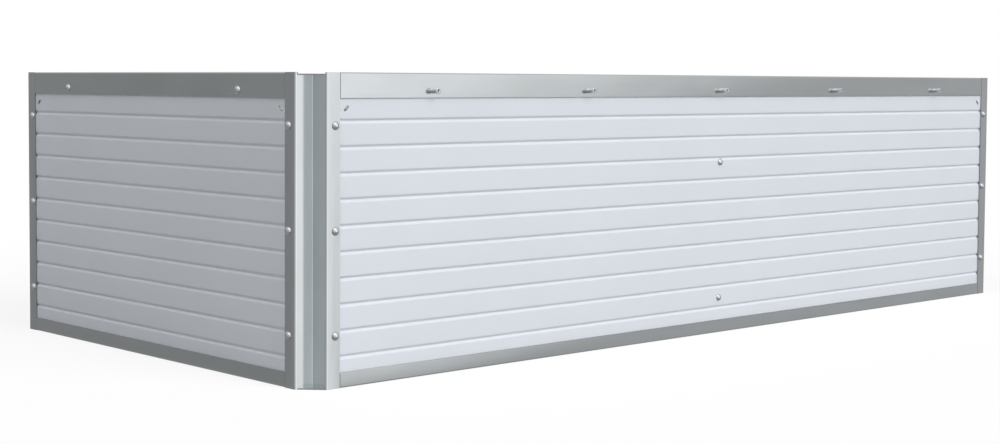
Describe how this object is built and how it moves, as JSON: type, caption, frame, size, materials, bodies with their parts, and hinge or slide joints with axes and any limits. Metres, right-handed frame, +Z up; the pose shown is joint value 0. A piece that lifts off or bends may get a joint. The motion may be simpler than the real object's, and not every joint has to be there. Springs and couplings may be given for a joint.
{
  "type": "raised garden bed",
  "caption": "Rectangular bottomless raised bed of horizontally grooved sheet walls between notched corner posts, with top caps, bottom rails and cross ties.",
  "frame": {"origin": "on the ground under the middle of the bed", "axes": "+X along the long walls, +Z up, the front long wall faces -Y"},
  "size_m": [2.0106, 0.963, 0.5],
  "materials": {
    "frame": "bright zinc-coated sheet steel",
    "panel": "matt pale silver coating",
    "bolt": "polished stainless steel",
    "inner": "plain zinc-coated steel"
  },
  "bodies": {
    "root": {"front_left_post": "frame", "front_right_post": "frame", "back_right_post": "frame", "back_left_post": "frame", "front_panel": "panel", "right_panel": "panel", "back_panel": "panel", "left_panel": "panel", "front_cap": "frame", "right_cap": "frame", "back_cap": "frame", "left_cap": "frame", "front_rail": "frame", "right_rail": "frame", "back_rail": "frame", "left_rail": "frame", "front_stiffener": "inner", "back_stiffener": "inner", "tie_lower": "inner", "tie_upper": "inner", "front_tie_screw_lower": "bolt", "front_tie_screw_upper": "bolt", "back_tie_screw_lower": "bolt", "back_tie_screw_upper": "bolt", "right_cap_bolt_front_right": "bolt", "right_cap_bolt_back_right": "bolt", "left_cap_bolt_back_left": "bolt", "left_cap_bolt_front_left": "bolt", "front_left_post_bolt_front_low": "bolt", "front_left_post_bolt_front_middle": "bolt", "front_left_post_bolt_front_high": "bolt", "front_right_post_bolt_front_low": "bolt", "front_right_post_bolt_front_middle": "bolt", "front_right_post_bolt_front_high": "bolt", "front_right_post_bolt_right_low": "bolt", "front_right_post_bolt_right_middle": "bolt", "front_right_post_bolt_right_high": "bolt", "back_right_post_bolt_right_low": "bolt", "back_right_post_bolt_right_middle": "bolt", "back_right_post_bolt_right_high": "bolt", "back_right_post_bolt_back_low": "bolt", "back_right_post_bolt_back_middle": "bolt", "back_right_post_bolt_back_high": "bolt", "back_left_post_bolt_back_low": "bolt", "back_left_post_bolt_back_middle": "bolt", "back_left_post_bolt_back_high": "bolt", "back_left_post_bolt_left_low": "bolt", "back_left_post_bolt_left_middle": "bolt", "back_left_post_bolt_left_high": "bolt", "front_left_post_bolt_left_low": "bolt", "front_left_post_bolt_left_middle": "bolt", "front_left_post_bolt_left_high": "bolt"}
  },
  "joints": []
}
